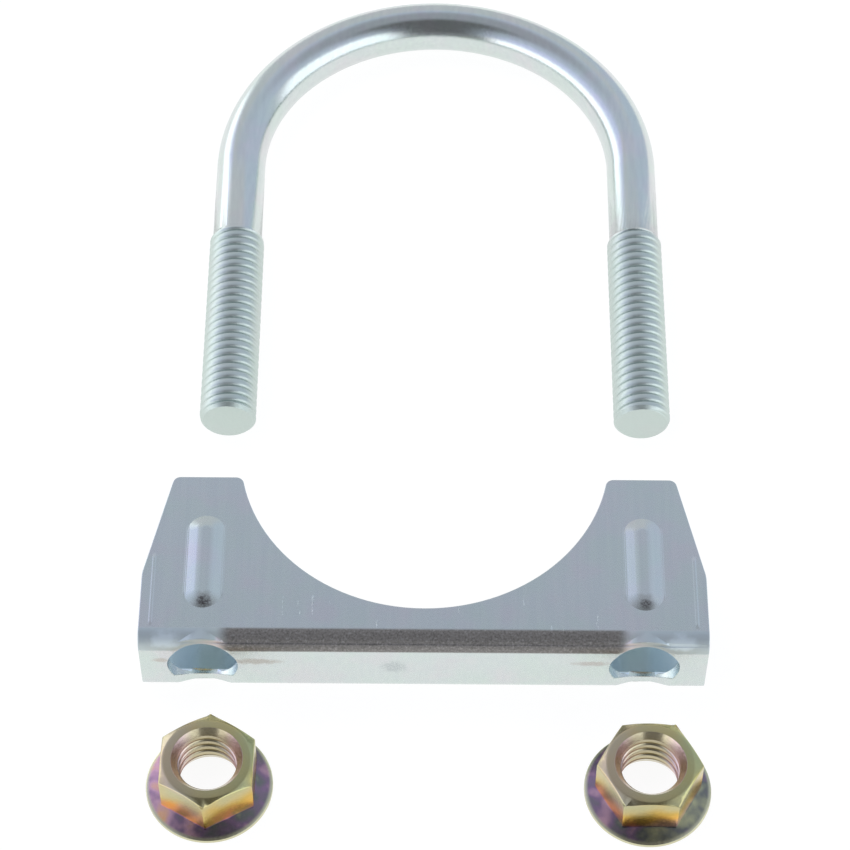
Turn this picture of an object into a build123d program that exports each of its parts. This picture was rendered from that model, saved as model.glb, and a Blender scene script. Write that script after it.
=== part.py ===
from build123d import *
import os
from math import atan2, cos, degrees, radians, tan

# Exhaust clamp laid out as loose pieces on a flat surface: a U-bolt lying flat,
# a folded sheet saddle lying on one flange and two flange nuts standing on
# their flanges. Millimetres, +Z up, +Y toward the arch of the U-bolt. The
# origin is under the middle of the whole layout.

# Pipe and the clearances taken from it
pipe_diameter = 59.2  # outside diameter of the pipe the clamp closes on
arch_clearance = 0.65  # gap between the pipe and the inside of the arch

# U-bolt
rod_diameter = 8.5  # plain rod of the arch
thread_diameter = 9.4  # over the crests of the thread on the legs
leg_length = 55.2  # from the centre of the arch to the end of a leg
thread_length = 38.0  # threaded part of a leg, up to its end
thread_run_out = 0.9  # cone between the plain rod and the thread crests
leg_end_chamfer = 0.55  # chamfer round the end of a leg

# Saddle, one folded sheet
sheet_thickness = 1.9
bend_radius = 2.6  # outside radius of the two long bends
rod_side_clearance = 0.4  # between a leg and the inside of each flange
side_beyond_leg = 9.75  # from a leg's axis out to the straight side
saddle_height = 31.0  # from the outside of the web to the horn tops
shoulder_height = 12.7  # where the straight sides turn into the slope
horn_beyond_leg = 5.6  # from a leg's axis out to the horn's outer corner
web_to_seat = 6.5  # from the outside of the web to the seat's lowest point
horn_corner_radius = 1.3
shoulder_radius = 6.0
hole_clearance = 1.6  # leg hole diameter over the thread diameter
upper_setback = 0.55  # how far the upper flange's edge lies behind the web at a hole
lower_setback = 1.9  # the same for the lower flange
setback_half_width = 4.6  # half the width of a set back edge

# Stiffening beads pressed outward in the flanges
bead_width = 5.9
bead_length = 17.2
bead_height = 0.8
bead_to_web = 14.9  # middle of a bead from the outside of the web
bead_flank = 2.0  # how far a bead's flank runs in while it rises
hollow_flank = 0.7  # the same for the walls of the hollow behind a bead

# Flange nuts
nut_across_flats = 14.3
nut_height = 8.8
nut_minor_diameter = 8.8  # through the crests of the inner thread
nut_flange_diameter = 19.7
nut_rim_thickness = 0.75
nut_flange_slope = 20.0  # degrees, upper face of the flange
nut_top_circle = 13.5  # where the upper chamfer meets the top face
nut_top_chamfer = 30.0  # degrees
countersink_diameter = 11.0  # mouth of the upper countersink
countersink_depth = 1.65
lower_mouth_diameter = 10.6  # mouth of the bore in the bearing face
lower_mouth_depth = 2.4

# Layout on the surface, from the arch centre of the U-bolt
saddle_shift = -1.6  # along X
web_distance = 104.5  # from the arch centre to the outside of the web
left_nut_x = -34.6
left_nut_distance = 121.6
left_nut_turn = 28.8  # degrees, hexagon about the vertical
right_nut_x = 33.2
right_nut_distance = 121.8
right_nut_turn = 0.0

# Sizes that follow from the ones above
rod_radius = rod_diameter / 2
thread_radius = thread_diameter / 2
seat_radius = pipe_diameter / 2
leg_spacing = pipe_diameter + 2 * arch_clearance + rod_diameter
arch_radius = leg_spacing / 2
saddle_width = leg_spacing + 2 * side_beyond_leg
horn_half_width = leg_spacing / 2 + horn_beyond_leg
channel_width = thread_diameter + 2 * rod_side_clearance + 2 * sheet_thickness
hole_radius = (thread_diameter + hole_clearance) / 2
inner_bend_radius = max(bend_radius - sheet_thickness, 0.2)
saddle_rest = bead_height  # the lower beads carry the saddle
layout_left = min(
    saddle_shift - saddle_width / 2,
    left_nut_x - nut_flange_diameter / 2,
    -arch_radius - thread_radius,
)
layout_right = max(
    saddle_shift + saddle_width / 2,
    right_nut_x + nut_flange_diameter / 2,
    arch_radius + thread_radius,
)
layout_x = (layout_left + layout_right) / 2
layout_top = arch_radius + rod_radius
layout_bottom = -max(left_nut_distance, right_nut_distance) - nut_flange_diameter / 2
layout_y = (layout_top + layout_bottom) / 2


def u_bolt():
    """The bent rod with its two threaded legs, arch centre at the origin."""
    plain_length = leg_length - thread_length
    profile = Polyline(
        (0, 0),
        (rod_radius, 0),
        (rod_radius, plain_length - thread_run_out),
        (thread_radius, plain_length),
        (thread_radius, leg_length - leg_end_chamfer),
        (thread_radius - leg_end_chamfer, leg_length),
        (0, leg_length),
        close=True,
    )
    leg = revolve(Plane.XZ * make_face(profile), Axis.Z)
    leg = Rot(90, 0, 0) * leg
    arch = Torus(arch_radius, rod_radius, major_angle=180, align=None)
    left = Pos(-arch_radius, 0, 0) * leg
    right = Pos(arch_radius, 0, 0) * leg
    return arch + left + right


def channel_section():
    """Cross section of the folded sheet, web at Y = 0, flanges toward +Y."""
    flange_length = 2 * saddle_height
    outer = Rectangle(flange_length, channel_width, align=(Align.MIN, Align.CENTER))
    outer_corners = outer.vertices().group_by(Axis.X)[0]
    outer = fillet(outer_corners, bend_radius)
    inner = Pos(sheet_thickness, 0) * Rectangle(
        flange_length,
        channel_width - 2 * sheet_thickness,
        align=(Align.MIN, Align.CENTER),
    )
    inner_corners = inner.vertices().group_by(Axis.X)[0]
    inner = fillet(inner_corners, inner_bend_radius)
    return outer - inner


def flange_outline():
    """Outline of a flange seen square on, web at the bottom."""
    half = saddle_width / 2
    blank = make_face(
        Polyline(
            (-half, 0),
            (half, 0),
            (half, shoulder_height),
            (horn_half_width, saddle_height),
            (-horn_half_width, saddle_height),
            (-half, shoulder_height),
            close=True,
        )
    )
    seat = Pos(0, web_to_seat + seat_radius) * Circle(seat_radius)
    outline = blank - seat
    tops = outline.vertices().group_by(Axis.Y)[-1]
    outline = fillet(tops, horn_corner_radius)
    shoulders = [
        v for v in outline.vertices() if abs(v.Y - shoulder_height) < 0.01 and abs(v.X) > half - 0.01
    ]
    return fillet(shoulders, shoulder_radius)


def round_ended(length, width, flank):
    """A round ended block along Y, its sides sloping in by flank over bead_height.

    It starts a little below Z = 0, so that it joins or cuts a face there.
    """
    slot = Rot(0, 0, 90) * SlotOverall(length, width)
    slope = degrees(atan2(flank, bead_height))
    return extrude(slot, bead_height, taper=slope) + extrude(slot, -bead_height)


def bead_ridge():
    """A bead standing bead_height above a face at Z = 0."""
    return round_ended(bead_length, bead_width, bead_flank)


def bead_hollow():
    """The hollow behind a bead, pressed bead_height into a face at Z = 0."""
    length = bead_length - sheet_thickness
    width = bead_width - sheet_thickness
    return round_ended(length, width, hollow_flank)


def saddle():
    """The folded sheet, outside of the web at Y = 0, lying on its beads."""
    half_width = channel_width / 2
    section = Plane.YZ * channel_section()
    strip = Pos(-saddle_width, 0, 0) * extrude(section, 2 * saddle_width)
    blank = Pos(0, 0, -channel_width) * extrude(flange_outline(), 2 * channel_width)
    body = strip & blank

    # each hole was punched before folding, so beside it the flanges run on
    # flat and end in an edge set back from the web
    for side in (-1, 1):
        x = side * arch_radius
        for face, setback in ((-1, lower_setback), (1, upper_setback)):
            land = Pos(x, setback, 0) * Rot(-90, 0, 0) * Cylinder(
                half_width,
                bend_radius - setback,
                align=(Align.CENTER, Align.CENTER, Align.MIN),
            )
            level = face * (half_width - sheet_thickness / 2)
            band = Pos(x, 0, level) * Box(4 * half_width, 4 * bend_radius, sheet_thickness)
            body += land & band
            scallop_radius = (setback_half_width**2 + setback**2) / (2 * setback)
            body -= Pos(x, setback - scallop_radius, face * half_width) * Cylinder(
                scallop_radius, channel_width
            )
        hole = Pos(x, bend_radius, 0) * Rot(90, 0, 0) * Cylinder(
            hole_radius,
            2 * bend_radius,
            align=(Align.CENTER, Align.CENTER, Align.MIN),
        )
        body -= hole

    ridge = bead_ridge()
    hollow = bead_hollow()
    for side in (-1, 1):
        for turn in (0, 180):
            place = Pos(side * arch_radius, bead_to_web, 0) * Rot(0, turn, 0)
            body += place * Pos(0, 0, half_width) * ridge
            body -= place * Pos(0, 0, half_width - sheet_thickness) * hollow
    return body


def flange_nut():
    """A hexagon nut on a cone shaped flange, bearing face at Z = 0."""
    bore_radius = nut_minor_diameter / 2
    rim = nut_flange_diameter / 2
    hex_radius = nut_across_flats / 2
    corner = hex_radius / cos(radians(30))
    rise = (rim - bore_radius) * tan(radians(nut_flange_slope))
    flange_profile = make_face(
        Polyline(
            (0, 0),
            (rim, 0),
            (rim, nut_rim_thickness),
            (bore_radius, nut_rim_thickness + rise),
            (0, nut_rim_thickness + rise),
            close=True,
        )
    )
    flange = revolve(Plane.XZ * flange_profile, Axis.Z)
    hexagon = extrude(RegularPolygon(hex_radius, 6, major_radius=False), nut_height)
    top = nut_top_circle / 2
    drop = (corner + 1 - top) * tan(radians(nut_top_chamfer))
    envelope = make_face(
        Polyline(
            (0, 0),
            (corner + 1, 0),
            (corner + 1, nut_height - drop),
            (top, nut_height),
            (0, nut_height),
            close=True,
        )
    )
    hexagon = hexagon & revolve(Plane.XZ * envelope, Axis.Z)
    bore_profile = make_face(
        Polyline(
            (0, 0),
            (lower_mouth_diameter / 2, 0),
            (bore_radius, lower_mouth_depth),
            (bore_radius, nut_height - countersink_depth),
            (countersink_diameter / 2, nut_height),
            (0, nut_height),
            close=True,
        )
    )
    bore = revolve(Plane.XZ * bore_profile, Axis.Z)
    return flange + hexagon - bore


def placed(shape, x, y, z, turn=0.0):
    """Put a shape on the surface, x and y taken from the arch centre."""
    return Pos(x - layout_x, y - layout_y, z) * Rot(0, 0, turn) * shape


parts = {
    "u_bolt": placed(u_bolt(), 0, 0, thread_radius),
    "saddle": placed(saddle(), saddle_shift, -web_distance, saddle_rest + channel_width / 2),
    "left_nut": placed(flange_nut(), left_nut_x, -left_nut_distance, 0, left_nut_turn),
    "right_nut": placed(flange_nut(), right_nut_x, -right_nut_distance, 0, right_nut_turn),
}

os.makedirs("parts", exist_ok=True)
for name, shape in parts.items():
    export_step(shape, f"parts/{name}.step")
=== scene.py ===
from math import cos, pi, radians, tan

import bmesh
import bpy
from mathutils import Matrix, Vector


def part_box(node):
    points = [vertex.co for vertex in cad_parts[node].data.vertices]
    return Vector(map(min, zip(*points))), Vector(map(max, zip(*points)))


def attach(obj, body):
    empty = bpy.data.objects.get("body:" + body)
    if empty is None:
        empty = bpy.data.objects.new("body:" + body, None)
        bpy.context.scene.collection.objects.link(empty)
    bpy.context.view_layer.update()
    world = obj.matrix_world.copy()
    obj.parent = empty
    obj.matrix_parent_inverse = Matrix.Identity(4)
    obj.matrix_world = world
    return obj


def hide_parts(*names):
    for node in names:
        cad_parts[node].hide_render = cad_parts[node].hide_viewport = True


# Exhaust clamp in loose pieces on a pale surface: a U-bolt with rolled threads, a
# folded sheet saddle and two flange nuts. Metres, in the frame of the solids: +Z up,
# +Y toward the arch of the U-bolt, which lies flat.
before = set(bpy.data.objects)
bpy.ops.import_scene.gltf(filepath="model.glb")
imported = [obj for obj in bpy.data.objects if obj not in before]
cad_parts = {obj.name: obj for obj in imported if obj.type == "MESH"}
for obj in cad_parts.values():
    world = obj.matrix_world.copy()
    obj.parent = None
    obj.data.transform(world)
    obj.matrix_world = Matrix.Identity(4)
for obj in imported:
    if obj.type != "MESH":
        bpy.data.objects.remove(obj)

bl_info = {
    "name": "Exhaust clamp",
    "version": (1, 0, 0),
    "blender": (4, 5, 0),
    "location": "View3D > Sidebar > Clamp",
    "description": "U-bolt, saddle and flange nuts of an exhaust clamp, with their zinc plating",
    "category": "Add Mesh",
}

MM = 0.001
X_AXIS = Vector((1, 0, 0))
Y_AXIS = Vector((0, 1, 0))
Z_AXIS = Vector((0, 0, 1))

# Points of a mesh that lie nearer than this are one point
SAME_PLACE = MM / 10000


class ClampSizes(bpy.types.PropertyGroup):
    """Sizes of the pieces that the solids leave plain."""

    rod_diameter: bpy.props.FloatProperty(
        name="Rod diameter", description="Plain rod of the U-bolt",
        default=8.5 * MM, unit="LENGTH", precision=5,
    )
    thread_diameter: bpy.props.FloatProperty(
        name="Thread diameter", description="Over the crests of the thread on the legs",
        default=9.4 * MM, unit="LENGTH", precision=5,
    )
    thread_pitch: bpy.props.FloatProperty(
        name="Thread pitch", description="From one crest to the next, sixteen to the inch",
        default=25.4 * MM / 16, unit="LENGTH", precision=6,
    )
    thread_depth: bpy.props.FloatProperty(
        name="Thread depth", description="From the crests down to the roots on the legs",
        default=0.5 * MM, unit="LENGTH", precision=6,
    )
    thread_length: bpy.props.FloatProperty(
        name="Thread length", description="Threaded part of a leg up to its end",
        default=38.0 * MM, unit="LENGTH", precision=5,
    )
    leg_end_chamfer: bpy.props.FloatProperty(
        name="Leg end chamfer", description="Chamfer round the end of a leg",
        default=0.55 * MM, unit="LENGTH", precision=6,
    )
    second_thread_turn: bpy.props.FloatProperty(
        name="Second thread turn", description="Turn of the second leg's thread from the first's",
        default=radians(130), subtype="ANGLE",
    )
    across_flats: bpy.props.FloatProperty(
        name="Across flats", description="Hexagon of the nuts",
        default=14.3 * MM, unit="LENGTH", precision=5,
    )
    nut_minor_diameter: bpy.props.FloatProperty(
        name="Nut minor diameter", description="Between the crests of the nut's thread",
        default=8.8 * MM, unit="LENGTH", precision=5,
    )
    left_nut_turn: bpy.props.FloatProperty(
        name="Left nut turn", description="Hexagon of the left nut about the vertical",
        default=radians(28.8), subtype="ANGLE",
    )
    sheet_thickness: bpy.props.FloatProperty(
        name="Sheet thickness", description="Folded sheet of the saddle",
        default=1.9 * MM, unit="LENGTH", precision=5,
    )
    bead_height: bpy.props.FloatProperty(
        name="Bead height", description="How far a bead stands out of a flange",
        default=0.8 * MM, unit="LENGTH", precision=5,
    )
    sheet_edge: bpy.props.FloatProperty(
        name="Sheet edge", description="Rounding of the saddle's cut edges",
        default=0.12 * MM, unit="LENGTH", precision=6,
    )
    bead_rounding: bpy.props.FloatProperty(
        name="Bead rounding", description="Rounding of the beads' upper edges",
        default=0.55 * MM, unit="LENGTH", precision=6,
    )


class ClampFinish(bpy.types.PropertyGroup):
    """Colours and gloss of the plating."""

    clear_zinc: bpy.props.FloatVectorProperty(
        name="Clear zinc", description="Metal colour of the U-bolt and the saddle",
        default=(0.68, 0.74, 0.72), size=3, min=0, max=1, subtype="COLOR",
    )
    clear_zinc_warm: bpy.props.FloatVectorProperty(
        name="Clear zinc, rosy patches", description="Rosy tint that drifts over the clear plating",
        default=(0.71, 0.715, 0.72), size=3, min=0, max=1, subtype="COLOR",
    )
    clear_zinc_green: bpy.props.FloatVectorProperty(
        name="Clear zinc, green patches", description="Green tint that drifts over the clear plating",
        default=(0.66, 0.75, 0.70), size=3, min=0, max=1, subtype="COLOR",
    )
    clear_roughness: bpy.props.FloatProperty(
        name="Clear roughness", description="Gloss of the clear plating",
        default=0.26, min=0, max=1, subtype="FACTOR",
    )
    rod_roughness: bpy.props.FloatProperty(
        name="Rod roughness", description="Gloss of the drawn rod, smoother than the sheet",
        default=0.19, min=0, max=1, subtype="FACTOR",
    )
    thread_roughness: bpy.props.FloatProperty(
        name="Thread roughness", description="Gloss of the rolled threads",
        default=0.42, min=0, max=1, subtype="FACTOR",
    )
    frost_roughness: bpy.props.FloatProperty(
        name="Frost roughness", description="Gloss of the stretched skin along the upper bend",
        default=0.55, min=0, max=1, subtype="FACTOR",
    )
    yellow_roughness: bpy.props.FloatProperty(
        name="Yellow roughness", description="Gloss of the yellow plating",
        default=0.22, min=0, max=1, subtype="FACTOR",
    )


class ClampStage(bpy.types.PropertyGroup):
    """Floor, light and camera."""

    floor_colour: bpy.props.FloatVectorProperty(
        name="Floor", description="Pale floor, as light falls on it",
        default=(0.8, 0.8, 0.8), size=3, min=0, max=1, subtype="COLOR",
    )
    lamp_power: bpy.props.FloatProperty(
        name="Lamp power", description="Watts of the large soft lamp", default=1.6, min=0,
    )


def clear_selection():
    """Leaves edit mode and deselects every object."""
    if bpy.context.mode != "OBJECT":
        bpy.ops.object.mode_set(mode="OBJECT")
    bpy.ops.object.select_all(action="DESELECT")


def take(piece):
    """Makes a piece the one selected and active object."""
    clear_selection()
    piece.select_set(True)
    bpy.context.view_layer.objects.active = piece


def edit(piece):
    """Opens a piece in edit mode with all of it selected."""
    take(piece)
    bpy.ops.object.mode_set(mode="EDIT")
    bpy.ops.mesh.select_mode(type="VERT")
    bpy.ops.mesh.select_all(action="SELECT")


def pick(piece, test):
    """Selects the points of a piece in edit mode whose place meets a test."""
    mesh = bmesh.from_edit_mesh(piece.data)
    for point in mesh.verts:
        point.select = test(piece.matrix_world @ point.co)
    mesh.select_mode = {"VERT"}
    mesh.select_flush_mode()
    bmesh.update_edit_mesh(piece.data)


def close_up(piece):
    """Merges doubled points of a closed piece, turns its faces outward and fixes its place."""
    edit(piece)
    bpy.ops.mesh.remove_doubles(threshold=SAME_PLACE)
    bpy.ops.mesh.normals_make_consistent(inside=False)
    bpy.ops.object.mode_set(mode="OBJECT")
    bpy.ops.object.transform_apply(location=True, rotation=True, scale=True)


def draw_line(name, base, points):
    """Starts a piece with its origin at base, as a line extruded through the points."""
    clear_selection()
    bpy.ops.mesh.primitive_plane_add(size=MM, location=base)
    piece = bpy.context.object
    piece.name = name
    piece.data.name = name
    edit(piece)
    bpy.ops.mesh.merge(type="CENTER")
    bpy.ops.transform.translate(value=Vector(points[0]) - Vector(base))
    for start, end in zip(points, points[1:]):
        step = Vector(end) - Vector(start)
        bpy.ops.mesh.extrude_region_move(TRANSFORM_OT_translate={"value": step})
    return piece


def turned(name, base, along, outline, steps=96):
    """A solid of revolution about a line through base, from (radius, height) points."""
    points = [base + X_AXIS * radius + along * height for radius, height in outline]
    piece = draw_line(name, base, points)
    bpy.ops.mesh.select_all(action="SELECT")
    bpy.ops.mesh.spin(steps=steps, angle=2 * pi, center=base, axis=along)
    close_up(piece)
    return piece


def threaded(name, base, along, root, crest, pitch, length, steps=64):
    """A threaded rod from base, its ends cut square, with wide round crests and narrow roots."""
    parts = 16
    narrowness = 4
    spare_turns = 4
    points = []
    for i in range(parts + 1):
        from_crest = abs(i / parts - 0.5) / 0.5
        radius = crest - (crest - root) * from_crest**narrowness
        points.append(base + X_AXIS * radius + along * (pitch * (i / parts - 1.5)))
    piece = draw_line(name, base, points)
    bpy.ops.object.mode_set(mode="OBJECT")
    screw = piece.modifiers.new("Screw", "SCREW")
    screw.axis = "Y" if along == Y_AXIS else "Z"
    screw.angle = 2 * pi
    screw.screw_offset = pitch
    screw.iterations = int(length / pitch) + spare_turns
    screw.steps = steps
    screw.render_steps = steps
    screw.use_merge_vertices = True
    screw.merge_threshold = SAME_PLACE
    bpy.ops.object.modifier_apply(modifier=screw.name)
    edit(piece)
    bpy.ops.mesh.remove_doubles(threshold=SAME_PLACE)
    for height, outward in ((0, -along), (length, along)):
        bpy.ops.mesh.select_all(action="SELECT")
        bpy.ops.mesh.bisect(
            plane_co=base + along * height, plane_no=outward, use_fill=True,
            clear_outer=True, threshold=SAME_PLACE,
        )
    close_up(piece)
    return piece


def carve(piece, tool, operation):
    """Cuts a piece with another, joins them or keeps what they share, and uses the other up."""
    modifier = piece.modifiers.new("Carve", "BOOLEAN")
    modifier.operation = operation
    modifier.solver = "EXACT"
    modifier.object = tool
    take(piece)
    bpy.ops.object.modifier_apply(modifier=modifier.name)
    bpy.data.objects.remove(tool, do_unlink=True)


def round_edges(piece, width, angle, segments=2):
    """Rounds the sharp edges of a piece."""
    bevel = piece.modifiers.new("Bevel", "BEVEL")
    bevel.width = width
    bevel.segments = segments
    bevel.limit_method = "ANGLE"
    bevel.angle_limit = angle
    bevel.use_clamp_overlap = False
    bevel.miter_outer = "MITER_ARC"
    take(piece)
    bpy.ops.object.modifier_apply(modifier=bevel.name)


def smooth(piece, angle, fold_length=None):
    """Smooth shading up to an angle, weighted by the faces' areas so that flats stay flat.

    Edges longer than fold_length run along a fold and stay smooth at any angle.
    """
    take(piece)
    bpy.ops.mesh.customdata_custom_splitnormals_clear()
    bpy.ops.object.shade_smooth_by_angle(angle=angle)
    if fold_length:
        edit(piece)
        bpy.ops.mesh.select_mode(type="EDGE")
        mesh = bmesh.from_edit_mesh(piece.data)
        for line in mesh.edges:
            line.select_set(line.calc_length() > fold_length)
        bmesh.update_edit_mesh(piece.data)
        bpy.ops.mesh.mark_sharp(clear=True)
        take(piece)
    weighted = piece.modifiers.new("Weighted normals", "WEIGHTED_NORMAL")
    weighted.keep_sharp = True
    weighted.weight = 50
    bpy.ops.object.modifier_apply(modifier=weighted.name)


def hand_over(piece, name, node, material):
    """Names a finished piece, gives it its finish and puts it in place of a solid."""
    piece.name = name
    piece.data.name = name
    piece.data.materials.clear()
    piece.data.materials.append(material)
    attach(piece, "root")
    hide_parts(node)


def new_group(name, inputs, outputs):
    """An empty shader node group with named inputs and outputs, and its sockets to start and end at."""
    group = bpy.data.node_groups.new(name, "ShaderNodeTree")
    for label, kind, value in inputs:
        socket = group.interface.new_socket(name=label, in_out="INPUT", socket_type=kind)
        if value is not None:
            socket.default_value = value
    for label, kind in outputs:
        group.interface.new_socket(name=label, in_out="OUTPUT", socket_type=kind)
    start = group.nodes.new("NodeGroupInput")
    end = group.nodes.new("NodeGroupOutput")
    return group, start.outputs, end.inputs


def feed(tree, socket, value):
    """Links another node's socket to a socket, or sets the socket to a value."""
    if isinstance(value, bpy.types.NodeSocket):
        tree.links.new(value, socket)
    else:
        socket.default_value = value


def add(tree, kind, settings=None, **values):
    """A node of a kind, with settings and with values or links for its inputs.

    An input is called by its name, or by the letter i and its number.
    """
    node = tree.nodes.new(kind)
    for key, value in (settings or {}).items():
        setattr(node, key, value)
    for key, value in values.items():
        number = key[1:]
        label = int(number) if number.isdigit() else key.replace("_", " ")
        feed(tree, node.inputs[label], value)
    return node


def maths(tree, operation, a, b=0.0, clamp=False):
    """A Math node's result."""
    settings = {"operation": operation, "use_clamp": clamp}
    return add(tree, "ShaderNodeMath", settings, i0=a, i1=b).outputs[0]


def vector_maths(tree, operation, a, b=(0.0, 0.0, 0.0)):
    """A Vector Math node's result, which is a value for a length and a vector for the others."""
    node = add(tree, "ShaderNodeVectorMath", {"operation": operation}, i0=a, i1=b)
    return node.outputs["Value" if operation == "LENGTH" else "Vector"]


def noise(tree, place, scale, detail, roughness=0.5):
    """A noise from 0 to 1, mostly near its middle."""
    node = add(
        tree, "ShaderNodeTexNoise", Vector=place, Scale=scale, Detail=detail, Roughness=roughness
    )
    return node.outputs["Fac"]


def blend_colours(tree, share, a, b):
    """Colour a with colour b laid over it by a share."""
    return add(tree, "ShaderNodeMix", {"data_type": "RGBA"}, i0=share, i6=a, i7=b).outputs[2]


def blend_values(tree, share, a, b):
    """Value a with value b laid over it by a share."""
    return add(tree, "ShaderNodeMix", {"data_type": "FLOAT"}, i0=share, i2=a, i3=b).outputs[0]


def carry_over(tree, value, low, high, first, last):
    """Goes evenly from first to last while a value goes from low to high, and is level beyond."""
    node = add(tree, "ShaderNodeMapRange", Value=value, i1=low, i2=high, i3=first, i4=last)
    return node.outputs[0]


def ease(tree, value, low, high):
    """0 up to low and 1 from high on, with an even curve between; low may be the larger one."""
    settings = {"interpolation_type": "SMOOTHSTEP"}
    node = add(tree, "ShaderNodeMapRange", settings, Value=value, i1=low, i2=high)
    return node.outputs[0]


def between(tree, value, low, high, soft):
    """1 between two values and 0 outside them, with soft edges."""
    rise = ease(tree, value, low - soft, low)
    return maths(tree, "MULTIPLY", rise, ease(tree, value, high + soft, high))


def together(tree, *masks):
    """Masks, heights or amounts multiplied, so that masks keep where all of them meet."""
    result = masks[0]
    for mask in masks[1:]:
        result = maths(tree, "MULTIPLY", result, mask)
    return result


def millimetres_from(tree, corner):
    """Object coordinates in millimetres from a corner, and their three parts."""
    texture = add(tree, "ShaderNodeTexCoord")
    place = add(
        tree, "ShaderNodeMapping", Vector=texture.outputs["Object"],
        Location=-corner / MM, Scale=(1 / MM, 1 / MM, 1 / MM),
    ).outputs[0]
    parts = add(tree, "ShaderNodeSeparateXYZ", Vector=place)
    return place, *(parts.outputs[name] for name in "XYZ")


def rgba(colour):
    """A colour with full alpha."""
    return (*colour, 1.0)


def drifting_tint_group():
    """Colour of a thin clear film: the metal's colour with two tints drifting over it."""
    grey = (0.7, 0.7, 0.7, 1)
    group, given, result = new_group(
        "Drifting tint",
        (
            ("Vector", "NodeSocketVector", None),
            ("Metal", "NodeSocketColor", grey),
            ("First tint", "NodeSocketColor", grey),
            ("Second tint", "NodeSocketColor", grey),
            ("Scale", "NodeSocketFloat", 0.14),
            ("Amount", "NodeSocketFloat", 0.8),
        ),
        (("Color", "NodeSocketColor"),),
    )
    elsewhere = vector_maths(group, "ADD", given["Vector"], (7.3, 1.9, 4.1))
    colour = given["Metal"]
    for tint, place in (("First tint", given["Vector"]), ("Second tint", elsewhere)):
        drift = noise(group, place, given["Scale"], 3.0, 0.55)
        share = together(group, ease(group, drift, 0.42, 0.66), given["Amount"])
        colour = blend_colours(group, share, colour, given[tint])
    feed(group, result["Color"], colour)
    return group


def fine_grain_group():
    """Fine grain of plated metal, as a height and as a mask from 0 to 1."""
    group, given, result = new_group(
        "Fine grain",
        (
            ("Vector", "NodeSocketVector", None),
            ("Scale", "NodeSocketFloat", 2.5),
            ("Stretch", "NodeSocketVector", (1.0, 1.0, 1.0)),
        ),
        (("Height", "NodeSocketFloat"), ("Mask", "NodeSocketFloat")),
    )
    stretched = vector_maths(group, "MULTIPLY", given["Vector"], given["Stretch"])
    grain = noise(group, stretched, given["Scale"], 4.0, 0.6)
    feed(group, result["Height"], grain)
    feed(group, result["Mask"], ease(group, grain, 0.35, 0.65))
    return group


def soft_patch_group():
    """Mask of a patch at a place, of a size along each axis, with a ragged soft rim."""
    group, given, result = new_group(
        "Soft patch",
        (
            ("Vector", "NodeSocketVector", None),
            ("Centre", "NodeSocketVector", (0.0, 0.0, 0.0)),
            ("Size", "NodeSocketVector", (1.0, 1.0, 1.0)),
            ("Ragged", "NodeSocketFloat", 0.3),
            ("Scale", "NodeSocketFloat", 0.7),
        ),
        (("Mask", "NodeSocketFloat"),),
    )
    away = vector_maths(group, "SUBTRACT", given["Vector"], given["Centre"])
    reach = vector_maths(group, "LENGTH", vector_maths(group, "DIVIDE", away, given["Size"]))
    uneven = maths(group, "SUBTRACT", noise(group, given["Vector"], given["Scale"], 2.0), 0.5)
    rim = maths(group, "ADD", reach, together(group, uneven, 4.0, given["Ragged"]))
    feed(group, result["Mask"], ease(group, rim, 1.15, 0.35))
    return group


def film_colour_group():
    """Colour of a yellow film by its thickness, from olive through gold, rose and violet."""
    group, given, result = new_group(
        "Film colour",
        (("Thickness", "NodeSocketFloat", 0.5),),
        (("Color", "NodeSocketColor"),),
    )
    stops = (
        (0.00, (0.50, 0.50, 0.29)),
        (0.15, (0.60, 0.51, 0.24)),
        (0.30, (0.68, 0.45, 0.09)),
        (0.42, (0.88, 0.49, 0.09)),
        (0.52, (0.84, 0.48, 0.30)),
        (0.62, (0.66, 0.40, 0.46)),
        (0.74, (0.30, 0.20, 0.29)),
        (0.86, (0.20, 0.21, 0.19)),
        (1.00, (0.50, 0.50, 0.29)),
    )
    ramp = add(group, "ShaderNodeValToRGB", Fac=given["Thickness"])
    band = ramp.color_ramp
    while len(band.elements) < len(stops):
        band.elements.new(0.5)
    for element, (place, colour) in zip(band.elements, stops):
        element.position = place
        element.color = rgba(colour)
    feed(group, result["Color"], ramp.outputs["Color"])
    return group


GROUP_MAKERS = {
    "Drifting tint": drifting_tint_group,
    "Fine grain": fine_grain_group,
    "Soft patch": soft_patch_group,
    "Film colour": film_colour_group,
}

# The shared node groups by name, once they are built
GROUPS = {}


def group_node(tree, name, **values):
    """Places a shared node group in a material, building it the first time."""
    if name not in GROUPS:
        GROUPS[name] = GROUP_MAKERS[name]()
    return add(tree, "ShaderNodeGroup", {"node_tree": GROUPS[name]}, **values)


def new_material(name):
    """A material with only its shader and output, its tree and the shader's inputs."""
    material = bpy.data.materials.new(name)
    material.use_nodes = True
    tree = material.node_tree
    shader = tree.nodes["Principled BSDF"].inputs
    shader["Metallic"].default_value = 1.0
    return material, tree, shader


def clear_zinc_base(tree, finish, place):
    """Colour and grain that the U-bolt and the saddle share."""
    tint = group_node(
        tree, "Drifting tint", Vector=place, Metal=rgba(finish.clear_zinc),
        First_tint=rgba(finish.clear_zinc_warm), Second_tint=rgba(finish.clear_zinc_green),
        Scale=0.14, Amount=0.8,
    )
    grain = group_node(tree, "Fine grain", Vector=place, Scale=2.6)
    return tint.outputs["Color"], grain.outputs


def relief(tree, shader, height):
    """Turns a height in millimetres into the shader's normal."""
    bump = add(tree, "ShaderNodeBump", Height=height, Strength=1.0, Distance=MM)
    feed(tree, shader["Normal"], bump.outputs["Normal"])


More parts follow.
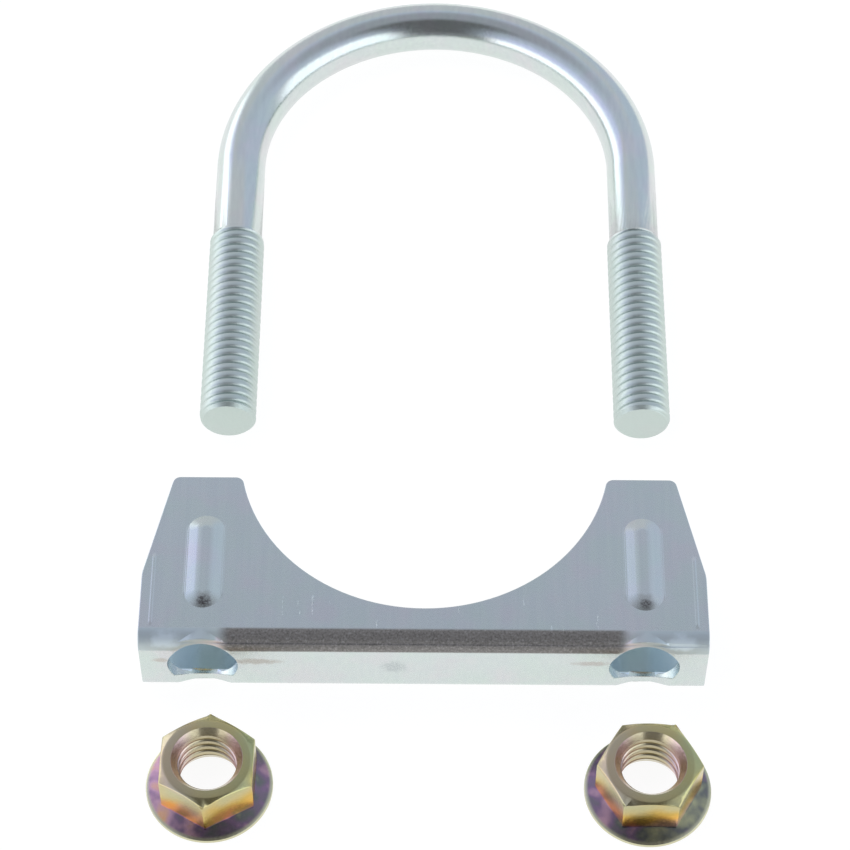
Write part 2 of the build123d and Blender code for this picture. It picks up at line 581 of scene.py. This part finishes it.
def rod_material(finish, corner, thread_length):
    """Clear zinc over the bent rod, duller and greener on the threads."""
    material, tree, shader = new_material("Clear zinc rod")
    place, _, y, _ = millimetres_from(tree, corner)
    colour, grain = clear_zinc_base(tree, finish, place)
    thread_top = thread_length / MM
    thread = ease(tree, y, thread_top + 0.6, thread_top - 0.4)
    streaks = group_node(tree, "Fine grain", Vector=place, Scale=0.9, Stretch=(1.5, 0.25, 1.5))
    plain = maths(tree, "SUBTRACT", 1.0, thread)
    streaks = together(tree, streaks.outputs["Mask"], plain, 0.16)
    colour = blend_colours(tree, streaks, colour, (0.50, 0.54, 0.58, 1))
    colour = blend_colours(tree, together(tree, thread, 0.7), colour, (0.57, 0.66, 0.61, 1))
    feed(tree, shader["Base Color"], colour)
    rough = blend_values(tree, thread, finish.rod_roughness, finish.thread_roughness)
    wear = carry_over(tree, grain["Mask"], 0.0, 1.0, -0.02, 0.04)
    feed(tree, shader["Roughness"], maths(tree, "ADD", rough, wear))
    relief(tree, shader, together(tree, grain["Height"], 0.012))
    return material


def speckled_skin_and_painted_dark(tree, specks, z):
    """Dark skin stretched over the upper bend, with darker and paler specks. The dark colour, darker
    toward the web, is partly frosted skin and partly painted dark reflection.
    """
    skin = blend_colours(
        tree, ease(tree, z, 12.6, 14.4), (0.28, 0.27, 0.26, 1), (0.33, 0.31, 0.275, 1)
    )
    dark = together(tree, ease(tree, specks, 0.52, 0.34), 0.55)
    skin = blend_colours(tree, dark, skin, (0.12, 0.115, 0.105, 1))
    pale = together(tree, ease(tree, specks, 0.55, 0.70), 0.5)
    return blend_colours(tree, pale, skin, (0.66, 0.65, 0.62, 1))


def lay_patches(tree, place, specks, colour):
    """Lays small patches over the sheet's colour, each with a centre, a size, a shade and speckles:
    brown stains, a scuff on the web, painted dark reflection at the beads' lower ends and painted glints
    on the bend beside the holes.
    """
    brown, brown_end, brown_right = (0.50, 0.49, 0.45, 1), (0.56, 0.54, 0.50, 1), (0.54, 0.53, 0.50, 1)
    # The two dark patches at the beads' lower ends are painted dark reflection, speckled.
    painted_dark_left, painted_dark_right = (0.24, 0.24, 0.24, 1), (0.26, 0.26, 0.26, 1)
    # pale is a painted glint: the two pale patches on the bend beside the holes stand in for the
    # highlight of the sheet's bulge there. scuffed is a real scuff on the web.
    scuffed, pale = (0.52, 0.57, 0.57, 1), (0.80, 0.90, 0.93, 1)
    patches = (
        ((-26.3, 0.0, 8.4), (4.6, 1.0, 1.0), brown, 0.3),
        ((-41.0, 0.0, 8.6), (1.5, 1.0, 0.7), brown_end, 0.3),
        ((26.3, 0.0, 8.4), (3.6, 1.0, 0.8), brown_right, 0.3),
        ((-34.2, 7.2, 14.8), (1.5, 1.2, 1.5), painted_dark_left, 1.0),
        ((34.6, 7.2, 14.8), (1.3, 1.0, 1.5), painted_dark_right, 1.0),
        ((-4.6, 0.0, 7.1), (2.2, 1.0, 2.0), scuffed, 1.0),
        ((-40.0, 0.9, 13.2), (2.6, 1.8, 1.6), pale, 0.0),
        ((40.0, 0.9, 13.2), (2.6, 1.8, 1.6), pale, 0.0),
    )
    for centre, size, shade, speckle in patches:
        patch = group_node(
            tree, "Soft patch", Vector=place, Centre=centre, Size=size, Ragged=0.25, Scale=0.9
        )
        gaps = together(tree, ease(tree, specks, 0.55, 0.35), speckle)
        share = together(tree, patch.outputs["Mask"], maths(tree, "SUBTRACT", 1.0, gaps))
        colour = blend_colours(tree, share, colour, shade)
    return colour


def drawn_lines(tree, place, off_middle, off_leg, y, z):
    """Height of the fine lines on the upper flange: at its sides, by the beads and near the bend."""
    side_line = together(
        tree, between(tree, off_middle, 42.35, 42.5, 0.3), between(tree, y, 3.9, 15.5, 1.0)
    )
    bead_lines = together(
        tree, between(tree, off_leg, 2.9, 3.0, 0.25), between(tree, y, 9.5, 20.5, 1.5)
    )
    strokes = group_node(tree, "Fine grain", Vector=place, Scale=1.1, Stretch=(1.6, 0.1, 0.3))
    strokes = together(
        tree, ease(tree, strokes.outputs["Height"], 0.67, 0.72), between(tree, y, 3.2, 7.5, 1.5),
        ease(tree, off_middle, 30.0, 27.0),
    )
    raised = together(tree, side_line, 0.06)
    for mask, rise in ((bead_lines, 0.035), (strokes, 0.05)):
        raised = maths(tree, "ADD", raised, together(tree, mask, rise))
    return together(tree, raised, ease(tree, z, 13.0, 13.8))


def sheet_material(finish, corner, leg, width, thickness):
    """Clear zinc over the folded sheet, its stretched skin frosted along the upper bend, where its dark
    colour is partly painted dark reflection; the channel's inside and some small patches carry painted
    light as well.

    All in millimetres: leg is a leg hole's distance from the middle, and width is the
    channel's over its two flanges. The corner is in the middle of the web's lower edge.
    """
    material, tree, shader = new_material("Clear zinc sheet")
    place, x, y, z = millimetres_from(tree, corner)
    off_middle = maths(tree, "ABSOLUTE", x)
    from_leg = maths(tree, "SUBTRACT", off_middle, leg)
    middle = width / 2
    colour, grain = clear_zinc_base(tree, finish, place)

    lines = group_node(tree, "Fine grain", Vector=place, Scale=1.3, Stretch=(1.0, 0.05, 0.3))
    lines = together(tree, lines.outputs["Mask"], 0.12)
    colour = blend_colours(tree, lines, colour, (0.50, 0.56, 0.62, 1))
    # Inside the channel the colour is painted pale blue: painted light that stands in for the light
    # reflected into the channel.
    inside = together(
        tree, between(tree, z, thickness + 0.05, width - thickness - 0.05, 0.1),
        ease(tree, y, thickness + 0.02, thickness + 0.2),
    )
    colour = blend_colours(tree, inside, colour, (0.79, 0.90, 1.0, 1))

    from_hole = add(
        tree, "ShaderNodeCombineXYZ", i0=from_leg, i2=maths(tree, "SUBTRACT", z, middle)
    ).outputs[0]
    cut_edge = together(
        tree, ease(tree, vector_maths(tree, "LENGTH", from_hole), 7.4, 6.9),
        between(tree, y, 0.25, 2.4, 0.1), between(tree, z, middle, width - 0.5, 0.2),
    )
    colour = blend_colours(tree, cut_edge, colour, (0.92, 0.86, 0.86, 1))

    # Along the upper bend the colour is a speckled frosted skin, partly real and partly painted dark
    # reflection, darkest toward the web.
    bend = together(tree, ease(tree, z, 11.2, 11.6), ease(tree, y, 2.9, 2.4))
    frost_and_painted_dark = together(tree, bend, ease(tree, off_middle, 32.4, 30.0))
    specks = noise(tree, place, 3.0, 3.0, 0.7)
    colour = blend_colours(tree, frost_and_painted_dark, colour, speckled_skin_and_painted_dark(tree, specks, z))
    end_of_bend = together(tree, bend, ease(tree, off_middle, 30.0, 32.4))
    beside_hole = together(
        tree, end_of_bend, ease(tree, z, 14.75, 14.5), ease(tree, off_middle, 31.0, 36.0)
    )
    colour = blend_colours(tree, beside_hole, colour, (0.62, 0.70, 0.71, 1))
    feed(tree, shader["Base Color"], lay_patches(tree, place, specks, colour))

    wear = carry_over(tree, grain["Mask"], 0.0, 1.0, -0.02, 0.05)
    rough = maths(tree, "ADD", wear, finish.clear_roughness)
    dull = maths(tree, "ADD", frost_and_painted_dark, end_of_bend, clamp=True)
    rough = blend_values(tree, dull, rough, finish.frost_roughness)
    rough = blend_values(tree, inside, rough, finish.rod_roughness)
    feed(tree, shader["Roughness"], rough)

    off_leg = maths(tree, "ABSOLUTE", from_leg)
    height = together(tree, grain["Height"], 0.008)
    height = maths(tree, "ADD", height, drawn_lines(tree, place, off_middle, off_leg, y, z))
    uneven = maths(tree, "SUBTRACT", noise(tree, place, 0.8, 3.0), 0.5)
    height = maths(tree, "ADD", height, together(tree, frost_and_painted_dark, uneven, 0.06))
    relief(tree, shader, height)
    return material


def nut_material(finish, name, centre, shift, foot_film, flange_film):
    """Yellow zinc over a flange nut, its film thicker at the hexagon's foot and on the flange.

    The nuts differ by the shift of their noises and by the two films.
    """
    material, tree, shader = new_material(name)
    place, x, y, z = millimetres_from(tree, centre)
    flat = add(tree, "ShaderNodeCombineXYZ", i0=x, i1=y).outputs[0]
    radius = vector_maths(tree, "LENGTH", flat)
    moved = vector_maths(tree, "ADD", place, (shift, shift, 0))
    slow = maths(tree, "SUBTRACT", noise(tree, moved, 0.11, 2.0), 0.5)
    quick = maths(tree, "SUBTRACT", noise(tree, moved, 0.26, 2.0), 0.5)

    top_film = 0.13
    foot, shoulder, top = 1.8, 7.6, 8.6
    sides = carry_over(tree, z, foot, shoulder, foot_film, top_film)
    sides = maths(tree, "ADD", sides, together(tree, slow, 0.8))
    flange = maths(tree, "ADD", flange_film, together(tree, quick, 0.8))
    thinner_left = together(tree, ease(tree, x, -3.5, -7.5), 0.2)
    flange = maths(tree, "SUBTRACT", flange, thinner_left)
    on_flange = together(tree, ease(tree, z, 1.95, 1.6), ease(tree, radius, 5.6, 6.4))
    film = blend_values(tree, on_flange, sides, flange)
    colour = group_node(tree, "Film colour", Thickness=film).outputs["Color"]

    on_top = ease(tree, z, shoulder, top)
    rosy = together(tree, on_top, ease(tree, x, 1.0, -6.0), 0.5)
    green = together(tree, on_top, ease(tree, x, 1.0, 7.0), 0.5)
    colour = blend_colours(tree, rosy, colour, (0.62, 0.48, 0.40, 1))
    colour = blend_colours(tree, green, colour, (0.44, 0.52, 0.27, 1))
    rim = ease(tree, radius, 9.1, 9.7)
    colour = blend_colours(tree, rim, colour, (0.66, 0.64, 0.43, 1))
    to_side = ease(tree, maths(tree, "ABSOLUTE", x), 2.2, 4.6)
    bore = blend_colours(tree, to_side, (0.56, 0.50, 0.33, 1), (0.80, 0.63, 0.60, 1))
    colour = blend_colours(tree, ease(tree, radius, 5.6, 5.45), colour, bore)
    feed(tree, shader["Base Color"], colour)

    grain = group_node(tree, "Fine grain", Vector=place, Scale=2.4).outputs
    gloss = finish.yellow_roughness
    rough = carry_over(tree, grain["Mask"], 0.0, 1.0, gloss - 0.02, gloss + 0.05)
    feed(tree, shader["Roughness"], rough)
    relief(tree, shader, together(tree, grain["Height"], 0.008))
    return material


def floor_material(stage):
    """White to the eye and in reflections, with a light shadow; plain pale paint to the light."""
    material = bpy.data.materials.new("Floor")
    material.use_nodes = True
    tree = material.node_tree
    tree.nodes.clear()
    output = tree.nodes.new("ShaderNodeOutputMaterial")
    rays = tree.nodes.new("ShaderNodeLightPath")
    seen = maths(tree, "MAXIMUM", rays.outputs["Is Camera Ray"], rays.outputs["Is Glossy Ray"])
    seen = maths(tree, "MAXIMUM", seen, rays.outputs["Is Transmission Ray"])
    paint = add(tree, "ShaderNodeBsdfDiffuse", Color=rgba(stage.floor_colour))
    shaded = add(tree, "ShaderNodeBsdfDiffuse", Color=(0.15, 0.15, 0.15, 1))
    white = add(tree, "ShaderNodeEmission", Color=(1, 1, 1, 1), Strength=0.92)
    bright = add(tree, "ShaderNodeAddShader", i0=shaded.outputs[0], i1=white.outputs[0])
    mix = add(tree, "ShaderNodeMixShader", i0=seen, i1=paint.outputs[0], i2=bright.outputs[0])
    feed(tree, output.inputs["Surface"], mix.outputs[0])
    return material


def studio_world():
    """White to the eye, and for light a studio with white walls, a grey roof and a dark front.

    Each wall has its share of the directions, its colour and its height. The walls are
    highest behind, lowest and dark in front, and brightest at the left and at the right.
    """
    world = bpy.data.worlds.new("Studio")
    world.use_nodes = True
    tree = world.node_tree
    tree.nodes.clear()
    output = tree.nodes.new("ShaderNodeOutputWorld")
    rays = tree.nodes.new("ShaderNodeLightPath")
    direction = add(tree, "ShaderNodeTexCoord").outputs["Generated"]
    parts = add(tree, "ShaderNodeSeparateXYZ", Vector=direction)
    x, y, z = (parts.outputs[name] for name in "XYZ")

    roof_by_wall = (0.57, 0.62, 0.76, 1)
    roof_middle = (0.38, 0.39, 0.45, 1)
    dark_front = (0.14, 0.14, 0.15, 1)
    roof = blend_colours(tree, ease(tree, z, 0.76, 0.93), roof_by_wall, roof_middle)
    off_middle = maths(tree, "ABSOLUTE", x)
    front = together(tree, ease(tree, y, 0.0, -0.22), ease(tree, off_middle, 0.5, 0.25))
    above = blend_colours(tree, front, roof, dark_front)

    in_front = ease(tree, y, 0.1, -0.3)
    right_behind = together(tree, ease(tree, y, 0.1, 0.4), ease(tree, x, 0.15, 0.4))
    at_left = ease(tree, x, -0.42, -0.56)
    at_right = together(tree, ease(tree, y, 0.22, 0.02), ease(tree, x, 0.25, 0.45))
    left_wall = blend_colours(
        tree, ease(tree, z, 0.30, 0.50), (1.7, 1.73, 1.8, 1), (0.74, 0.77, 1.08, 1)
    )
    walls = (
        (in_front, (0.24, 0.24, 0.26, 1), 0.31),
        (right_behind, (0.56, 0.63, 0.76, 1), 0.60),
        (at_left, left_wall, 0.66),
        (at_right, (1.45, 1.52, 1.62, 1), 0.64),
    )
    wall = (0.62, 0.63, 0.68, 1)
    top = 0.72
    for share, colour, height in walls:
        wall = blend_colours(tree, share, wall, colour)
        top = blend_values(tree, share, top, height)
    over = maths(tree, "SUBTRACT", z, top)
    room = blend_colours(tree, ease(tree, over, 0.04, -0.04), above, wall)

    lit = add(tree, "ShaderNodeBackground", Color=room, Strength=1.0)
    white = add(tree, "ShaderNodeBackground", Color=(1, 1, 1, 1), Strength=1.0)
    mix = add(
        tree, "ShaderNodeMixShader", i0=rays.outputs["Is Camera Ray"],
        i1=lit.outputs[0], i2=white.outputs[0],
    )
    feed(tree, output.inputs["Surface"], mix.outputs[0])
    return world


def bent_rod(centre, arch_radius, rod_radius, shank, tip, tip_radius):
    """Half a ring of round rod with two straight legs toward -Y, each with a conical tip."""
    clear_selection()
    bpy.ops.mesh.primitive_circle_add(
        vertices=96, radius=rod_radius, location=centre - X_AXIS * arch_radius,
        rotation=(pi / 2, 0, 0),
    )
    piece = bpy.context.object
    edit(piece)
    bpy.ops.mesh.spin(steps=128, angle=pi, center=centre, axis=Z_AXIS)
    reach = centre.y + MM / 1000
    pick(piece, lambda place: place.y < reach)
    for length in (shank, tip):
        bpy.ops.mesh.extrude_region_move(TRANSFORM_OT_translate={"value": -Y_AXIS * length})
    reach -= shank + tip
    share = tip_radius / rod_radius
    for side in (-1, 1):
        pick(piece, lambda place: place.y < reach and (place.x - centre.x) * side > 0)
        bpy.ops.transform.resize(
            value=(share, 1, share), center_override=centre + X_AXIS * side * arch_radius
        )
        bpy.ops.mesh.edge_face_add()
    close_up(piece)
    return piece


def leg_thread(sizes, leg_end, run_out):
    """The thread of a leg, from its chamfered end up to the cone where it runs out in the rod."""
    crest = sizes.thread_diameter / 2
    rod_radius = sizes.rod_diameter / 2
    outside = 0.2 * MM
    chamfer = sizes.leg_end_chamfer
    further = outside * run_out / (crest - rod_radius)
    blank_outline = (
        (0, 0),
        (crest - chamfer, 0),
        (crest + outside, chamfer + outside),
        (crest + outside, sizes.thread_length - further),
        (rod_radius - outside, sizes.thread_length + run_out + further),
        (0, sizes.thread_length + run_out + further),
    )
    thread = threaded(
        "thread", leg_end - Y_AXIS * MM, Y_AXIS, crest - sizes.thread_depth, crest,
        sizes.thread_pitch, sizes.thread_length + 4 * MM,
    )
    carve(thread, turned("blank", leg_end, Y_AXIS, blank_outline), "INTERSECT")
    return thread


class CLAMP_OT_u_bolt(bpy.types.Operator):
    """Bend the rod of the U-bolt and roll the threads on its legs"""

    bl_idname = "clamp.u_bolt"
    bl_label = "U-bolt"

    def execute(self, context):
        sizes = context.scene.clamp_sizes
        low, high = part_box("u_bolt")
        rod_radius = sizes.rod_diameter / 2
        crest = sizes.thread_diameter / 2
        arch_radius = (high.x - low.x) / 2 - crest
        centre = Vector(((low.x + high.x) / 2, high.y - arch_radius - rod_radius, (low.z + high.z) / 2))
        left_leg_end = Vector((centre.x - arch_radius, low.y, centre.z))
        run_out = 0.9 * MM
        tip = 2.2 * MM
        tip_radius = crest - sizes.thread_depth - 0.05 * MM
        shank = centre.y - (low.y + sizes.thread_length) - run_out

        piece = bent_rod(centre, arch_radius, rod_radius, shank, tip, tip_radius)
        thread = leg_thread(sizes, left_leg_end, run_out)
        take(thread)
        bpy.ops.object.duplicate()
        second = context.object
        bpy.ops.object.mode_set(mode="EDIT")
        bpy.ops.mesh.select_all(action="SELECT")
        bpy.ops.transform.rotate(
            value=sizes.second_thread_turn, orient_axis="Y", center_override=left_leg_end
        )
        bpy.ops.transform.translate(value=X_AXIS * 2 * arch_radius)
        clear_selection()
        carve(piece, thread, "UNION")
        carve(piece, second, "UNION")
        take(piece)
        bpy.ops.object.shade_smooth_by_angle(angle=radians(40))
        finish = context.scene.clamp_finish
        corner = Vector((centre.x, low.y, centre.z))
        material = rod_material(finish, corner, sizes.thread_length)
        hand_over(piece, "u_bolt_rod", "u_bolt", material)
        return {"FINISHED"}


class CLAMP_OT_saddle(bpy.types.Operator):
    """Take the folded sheet of the saddle, round its cut edges and plate it"""

    bl_idname = "clamp.saddle"
    bl_label = "Saddle"

    def execute(self, context):
        sizes = context.scene.clamp_sizes
        clear_selection()
        piece = bpy.data.objects.new("saddle_sheet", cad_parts["saddle"].data.copy())
        context.scene.collection.objects.link(piece)
        edit(piece)
        bpy.ops.mesh.remove_doubles(threshold=MM / 1000)
        bpy.ops.mesh.dissolve_limited(angle_limit=radians(0.5))
        low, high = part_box("saddle")
        for level in (low.z, high.z):
            pick(piece, lambda place: abs(place.z - level) < MM / 100)
            bpy.ops.mesh.bevel(offset=sizes.bead_rounding, segments=3, affect="EDGES")
        bpy.ops.object.mode_set(mode="OBJECT")
        round_edges(piece, sizes.sheet_edge, radians(50))
        smooth(piece, radians(15), 50 * MM)

        bolt_low, bolt_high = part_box("u_bolt")
        leg = (bolt_high.x - bolt_low.x - sizes.thread_diameter) / 2
        width = high.z - low.z - 2 * sizes.bead_height
        corner = Vector(((low.x + high.x) / 2, low.y, low.z + sizes.bead_height))
        finish = context.scene.clamp_finish
        material = sheet_material(finish, corner, leg / MM, width / MM, sizes.sheet_thickness / MM)
        hand_over(piece, "saddle_sheet", "saddle", material)
        return {"FINISHED"}


def chamfered_hexagon(base, flat, height):
    """The hexagon of a nut, two corners along Y, its top chamfered by a cone, its edges rounded."""
    corner = flat / cos(radians(30))
    clear_selection()
    bpy.ops.mesh.primitive_cylinder_add(
        vertices=6, radius=corner, depth=height, end_fill_type="NGON",
        location=base + Z_AXIS * height / 2, rotation=(0, 0, pi / 2),
    )
    nut = bpy.context.object
    close_up(nut)
    top_radius = 6.75 * MM
    drop = (corner + MM - top_radius) * tan(radians(30))
    envelope = (
        (0, -MM),
        (corner + MM, -MM),
        (corner + MM, height - drop),
        (top_radius, height),
        (0, height),
    )
    carve(nut, turned("envelope", base, Z_AXIS, envelope), "INTERSECT")
    round_edges(nut, 0.2 * MM, radians(20), 3)
    return nut


def cone_flange(base, rim, bore):
    """The flange of a nut, with a rounded rim and a conical upper face."""
    slope = tan(radians(20))
    edge = 0.75 * MM
    rounding = 0.22 * MM
    halfway = 0.06 * MM
    outline = (
        (0, 0),
        (rim - rounding, 0),
        (rim - halfway, halfway),
        (rim, rounding),
        (rim, edge - rounding),
        (rim - halfway, edge - halfway),
        (rim - rounding, edge + 0.05 * MM),
        (bore, edge + (rim - bore) * slope),
        (0, edge + (rim - bore) * slope),
    )
    return turned("flange", base, Z_AXIS, outline, 128)


def bore_mouths(base, bore, height):
    """What is cut out of a nut before tapping: a bore inside the thread, opening out at both ends."""
    core = bore - 0.15 * MM
    top_mouth = 5.5 * MM
    foot_mouth = 5.3 * MM
    top_slope = 1.65 * MM / (top_mouth - bore)
    foot_slope = 2.4 * MM / (foot_mouth - bore)
    outline = (
        (0, -MM),
        (foot_mouth + MM / foot_slope, -MM),
        (core, (foot_mouth - core) * foot_slope),
        (core, height - (top_mouth - core) * top_slope),
        (top_mouth + MM / top_slope, height + MM),
        (0, height + MM),
    )
    return turned("mouths", base, Z_AXIS, outline)


def foot_of(node):
    """The point on the surface under the middle of a solid."""
    low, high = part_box(node)
    return Vector(((low.x + high.x) / 2, (low.y + high.y) / 2, 0))


class CLAMP_OT_nuts(bpy.types.Operator):
    """Forge, chamfer and tap a flange nut and stand it beside its copy"""

    bl_idname = "clamp.nuts"
    bl_label = "Flange nuts"

    def execute(self, context):
        sizes = context.scene.clamp_sizes
        low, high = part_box("right_nut")
        base = foot_of("right_nut")
        height = high.z
        rim = (high.x - low.x) / 2
        bore = sizes.nut_minor_diameter / 2
        groove = sizes.thread_diameter / 2 + 0.05 * MM

        nut = chamfered_hexagon(base, sizes.across_flats / 2, height)
        carve(nut, cone_flange(base, rim, bore), "UNION")
        carve(nut, bore_mouths(base, bore, height), "DIFFERENCE")
        tap = threaded(
            "tap", base - Z_AXIS * MM, Z_AXIS, bore, groove, sizes.thread_pitch, height + 2 * MM
        )
        carve(nut, tap, "DIFFERENCE")
        smooth(nut, radians(28))

        take(nut)
        bpy.ops.object.duplicate()
        left = context.object
        left_base = foot_of("left_nut")
        turn = Matrix.Rotation(sizes.left_nut_turn, 4, "Z")
        left.matrix_world = Matrix.Translation(left_base) @ turn @ Matrix.Translation(-base)
        bpy.ops.object.transform_apply(location=True, rotation=True, scale=True)
        finish = context.scene.clamp_finish
        right_plating = nut_material(
            finish, "Yellow zinc, right nut", base, shift=0.37, foot_film=0.50, flange_film=0.88
        )
        left_plating = nut_material(
            finish, "Yellow zinc, left nut", left_base, shift=0.11, foot_film=0.36, flange_film=0.76
        )
        hand_over(nut, "right_flange_nut", "right_nut", right_plating)
        hand_over(left, "left_flange_nut", "left_nut", left_plating)
        return {"FINISHED"}


class CLAMP_OT_stage(bpy.types.Operator):
    """Lay the pale floor, hang the soft lamp and set up the camera"""

    bl_idname = "clamp.stage"
    bl_label = "Floor, light and camera"

    def execute(self, context):
        stage = context.scene.clamp_stage
        clear_selection()
        bpy.ops.mesh.primitive_plane_add(size=6.0, location=(0, 0, 0))
        floor = context.object
        floor.name = "floor"
        floor.data.materials.append(floor_material(stage))
        context.scene.world = studio_world()
        self.lamp(context, stage.lamp_power)
        self.camera(context)
        context.scene.view_settings.view_transform = "Standard"
        return {"FINISHED"}

    def lamp(self, context, power):
        """A large soft lamp above the table, behind at the left, that no piece mirrors."""
        lamp = bpy.data.lights.new("softbox", "AREA")
        lamp.shape = "RECTANGLE"
        lamp.size = 0.7
        lamp.size_y = 0.5
        lamp.energy = power
        light = bpy.data.objects.new("softbox", lamp)
        light.location = (-0.35, 0.35, 0.75)
        light.rotation_euler = (-light.location).to_track_quat("-Z", "Y").to_euler()
        light.visible_glossy = False
        context.scene.collection.objects.link(light)

    def camera(self, context):
        """The camera at the photograph's angle, from in front and 54 degrees above the table."""
        data = bpy.data.cameras.new("camera")
        photo_width = 850
        focal_pixels = 3000
        data.sensor_fit = "HORIZONTAL"
        data.sensor_width = 36
        data.lens = data.sensor_width * focal_pixels / photo_width
        data.clip_start = 0.01
        data.clip_end = 20
        camera = bpy.data.objects.new("camera", data)
        right = Vector((0.99998, 0.00570, 0.00409))
        up = Vector((-0.00702, 0.81256, 0.58283))
        back = right.cross(up)
        place = Vector((-0.00023, -0.30030, 0.41043))
        turn = Matrix((right, up, back)).transposed().to_4x4()
        camera.matrix_world = Matrix.Translation(place) @ turn
        context.scene.collection.objects.link(camera)
        context.scene.camera = camera


class CLAMP_PT_panel(bpy.types.Panel):
    """Lists the clamp's sizes, finish and operators"""

    bl_label = "Exhaust clamp"
    bl_idname = "CLAMP_PT_panel"
    bl_space_type = "VIEW_3D"
    bl_region_type = "UI"
    bl_category = "Clamp"

    def draw(self, context):
        for operator in OPERATORS:
            self.layout.operator(operator.bl_idname)
        for values in (context.scene.clamp_sizes, context.scene.clamp_finish, context.scene.clamp_stage):
            box = self.layout.box()
            for name in values.bl_rna.properties.keys():
                if name not in ("rna_type", "name"):
                    box.prop(values, name)


OPERATORS = (CLAMP_OT_u_bolt, CLAMP_OT_saddle, CLAMP_OT_nuts, CLAMP_OT_stage)
GROUPS_OF_VALUES = {"clamp_sizes": ClampSizes, "clamp_finish": ClampFinish, "clamp_stage": ClampStage}


def register():
    for name, values in GROUPS_OF_VALUES.items():
        bpy.utils.register_class(values)
        setattr(bpy.types.Scene, name, bpy.props.PointerProperty(type=values))
    for shown in (*OPERATORS, CLAMP_PT_panel):
        bpy.utils.register_class(shown)


def unregister():
    for shown in (CLAMP_PT_panel, *reversed(OPERATORS)):
        bpy.utils.unregister_class(shown)
    for name, values in GROUPS_OF_VALUES.items():
        delattr(bpy.types.Scene, name)
        bpy.utils.unregister_class(values)


def main():
    """Dresses the clamp."""
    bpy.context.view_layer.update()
    register()
    bpy.ops.clamp.u_bolt()
    bpy.ops.clamp.saddle()
    bpy.ops.clamp.nuts()
    bpy.ops.clamp.stage()


if __name__ == "__main__":
    main()
